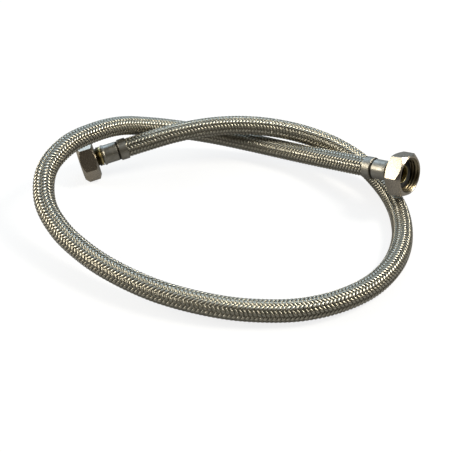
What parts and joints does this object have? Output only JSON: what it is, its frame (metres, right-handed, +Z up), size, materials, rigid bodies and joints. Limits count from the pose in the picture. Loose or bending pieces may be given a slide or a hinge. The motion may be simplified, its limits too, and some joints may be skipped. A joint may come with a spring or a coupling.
{
  "type": "flexible hose",
  "caption": "Braided steel flexible tap connector laid in one overlapping loop, with a crimped ferrule and a loose hex union nut on each end.",
  "frame": {"origin": "centre of the bounding box on the surface that the hose lies on", "axes": "+Z up, +X along the long side of the loop, +Y across it from the front stretch towards the stretch that crosses the nuts"},
  "size_m": [0.228, 0.1743, 0.0421],
  "materials": {
    "steel_braid": "bright woven wire",
    "liner_rubber": "matte",
    "ferrule_steel": "satin",
    "stem_brass": "machined",
    "washer_rubber": "matte",
    "nut_nickel": "bright nickel plate"
  },
  "bodies": {
    "hose": {"hose_braid": "steel_braid", "inner_tube": "liner_rubber", "left_ferrule": "ferrule_steel", "left_insert_stem": "stem_brass", "right_ferrule": "ferrule_steel", "right_insert_stem": "stem_brass"},
    "left_washer": {"left_sealing_washer": "washer_rubber"},
    "left_nut": {"left_union_nut": "nut_nickel"},
    "right_washer": {"right_sealing_washer": "washer_rubber"},
    "right_nut": {"right_union_nut": "nut_nickel"}
  },
  "joints": [
    {"name": "left_nut_travel", "type": "slide", "parent": "hose", "child": "left_washer", "axis": [-0.9331, -0.2947, -0.2063], "range_m": [-0.0008, 0]},
    {"name": "left_nut_turn", "type": "hinge", "parent": "left_washer", "child": "left_nut", "pos_m": [-0.0675, 0.0553, 0.01815], "axis": [-0.9331, -0.2947, -0.2063], "continuous": true},
    {"name": "right_nut_travel", "type": "slide", "parent": "hose", "child": "right_washer", "axis": [0.7336, -0.6371, 0.2365], "range_m": [0, 0.0008]},
    {"name": "right_nut_turn", "type": "hinge", "parent": "right_washer", "child": "right_nut", "pos_m": [0.0836, 0.035, 0.02145], "axis": [0.7336, -0.6371, 0.2365], "continuous": true}
  ]
}
